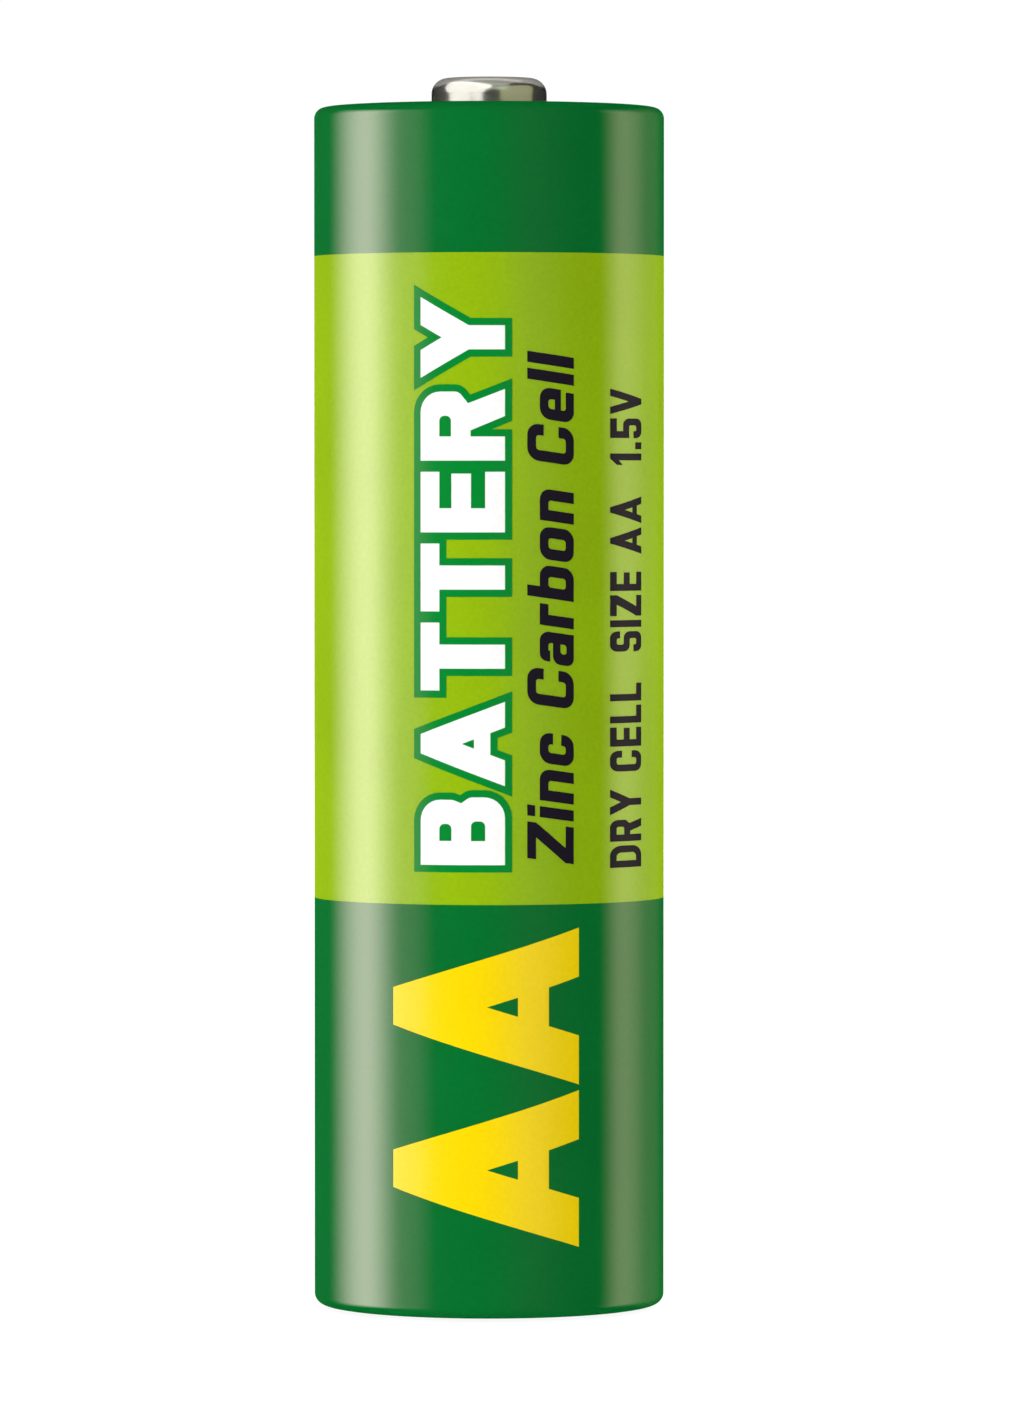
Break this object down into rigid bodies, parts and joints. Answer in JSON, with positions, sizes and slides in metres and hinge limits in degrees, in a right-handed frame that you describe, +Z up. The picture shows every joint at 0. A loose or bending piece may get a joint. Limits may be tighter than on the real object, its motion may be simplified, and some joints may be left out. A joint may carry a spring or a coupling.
{
  "type": "cylindrical battery cell",
  "caption": "Cylindrical dry battery cell: a green and lime crimped metal jacket, a small raised metal contact on top and a flat metal contact underneath, with its layers inside.",
  "frame": {"origin": "centre of the negative contact face, at the bottom", "axes": "+Z up the cell's axis towards the positive contact; +Y towards the jacket's lap seam at the back; -Y is the side with the large lettering"},
  "size_m": [0.0142, 0.0142, 0.0502],
  "materials": {
    "printed_tinplate": "gloss",
    "insulating_board": "matte",
    "plated_steel": "gloss",
    "kraft_paper": "matte",
    "shrink_film": "gloss",
    "zinc": "satin",
    "closure_plastic": "satin",
    "bitumen": "gloss",
    "carbon": "satin",
    "black_mix": "matte",
    "separator_paper": "matte",
    "gel_paste": "satin",
    "grey_board": "matte",
    "print_white": "gloss",
    "print_green": "gloss",
    "print_black": "gloss",
    "print_yellow": "gloss"
  },
  "bodies": {
    "root": {"outer_jacket": "printed_tinplate", "top_insulating_ring": "insulating_board", "bottom_insulating_ring": "insulating_board", "positive_cap": "plated_steel", "negative_plate": "plated_steel", "paper_tube": "kraft_paper", "shrink_sleeve": "shrink_film", "zinc_can": "zinc", "sealing_closure": "closure_plastic", "bitumen_seal": "bitumen", "carbon_rod": "carbon", "cathode_mix": "black_mix", "separator_liner": "separator_paper", "separator_paste": "gel_paste", "top_paper_washer": "grey_board", "bottom_paper_cup": "grey_board"}
  },
  "joints": []
}
